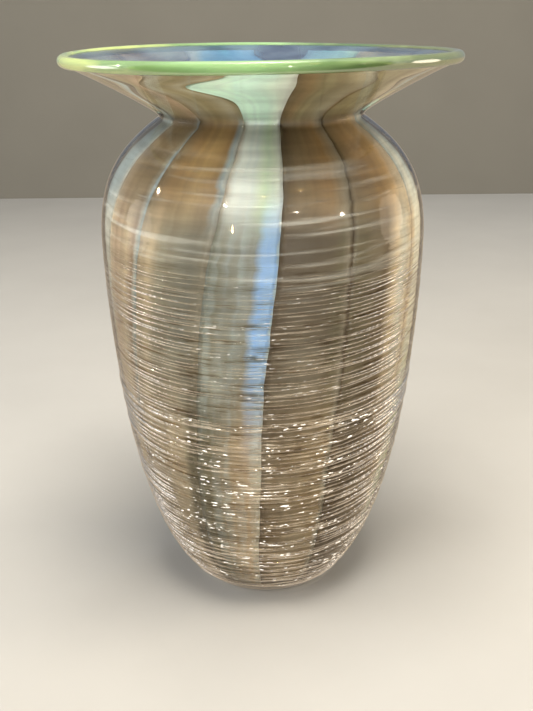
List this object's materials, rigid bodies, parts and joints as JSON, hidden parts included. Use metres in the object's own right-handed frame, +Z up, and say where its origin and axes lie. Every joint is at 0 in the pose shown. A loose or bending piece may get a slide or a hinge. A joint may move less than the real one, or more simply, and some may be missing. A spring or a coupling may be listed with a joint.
{
  "type": "hand blown glass vase",
  "caption": "Flared-mouth blown glass vase with coloured panels under a clear casing, trailed threads round the body and a round wrap on the lip.",
  "frame": {"origin": "centre of the foot, on the surface the vase stands on", "axes": "+Z up along the vase's axis; -Y is the side seen from the front, +X to the viewer's right"},
  "size_m": [0.1932, 0.1932, 0.28],
  "materials": {
    "inner_glass": "polished, with a faint violet lustre",
    "opal_glass": "milky opal, glossy",
    "bronze_glass": "bronze-brown translucent, glossy",
    "casing_glass": "clear, fire polished",
    "lip_glass": "green translucent, fire polished",
    "thread_glass": "pale bronze trailed glass, glossy"
  },
  "bodies": {
    "root": {"inner_bubble": "inner_glass", "opal_panel_1": "opal_glass", "bronze_panel_1": "bronze_glass", "bronze_panel_2": "bronze_glass", "opal_panel_2": "opal_glass", "bronze_panel_3": "bronze_glass", "bronze_panel_4": "bronze_glass", "opal_panel_3": "opal_glass", "bronze_panel_5": "bronze_glass", "bronze_panel_6": "bronze_glass", "opal_panel_4": "opal_glass", "bronze_panel_7": "bronze_glass", "opal_panel_5": "opal_glass", "bronze_panel_8": "bronze_glass", "bronze_panel_9": "bronze_glass", "outer_casing": "casing_glass", "lip_wrap": "lip_glass", "shoulder_thread": "thread_glass", "belly_thread": "thread_glass", "foot_thread": "thread_glass"}
  },
  "joints": []
}
